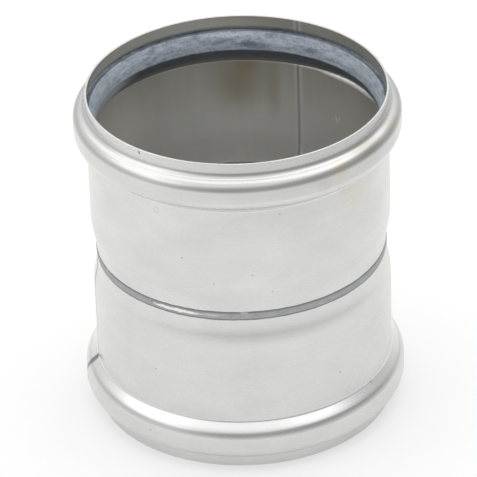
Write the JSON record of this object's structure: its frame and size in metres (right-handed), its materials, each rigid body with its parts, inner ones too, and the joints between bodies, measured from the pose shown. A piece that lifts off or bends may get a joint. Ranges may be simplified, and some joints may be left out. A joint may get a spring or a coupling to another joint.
{
  "type": "double socket coupling",
  "caption": "Round metal flue coupling with a push-in socket at each end, a rolled groove with a rubber lip seal behind each rim, and a girth weld at the neck.",
  "frame": {"origin": "centre of the lower rim, on the surface that the coupling stands on", "axes": "+Z along the duct, towards the upper mouth; +X and +Y square to it, with the upper seam weld about 64 degrees from +X and the lower one about 187 degrees"},
  "size_m": [0.0886, 0.0886, 0.0948],
  "materials": {
    "formed_sheet": "satin cold-rolled stainless sheet",
    "weld_metal": "matte grey weld bead",
    "seal_rubber": "matte grey elastomer with pale bloom"
  },
  "bodies": {
    "root": {"upper_socket": "formed_sheet", "lower_socket": "formed_sheet", "girth_weld": "weld_metal", "upper_seal": "seal_rubber", "lower_seal": "seal_rubber"}
  },
  "joints": []
}
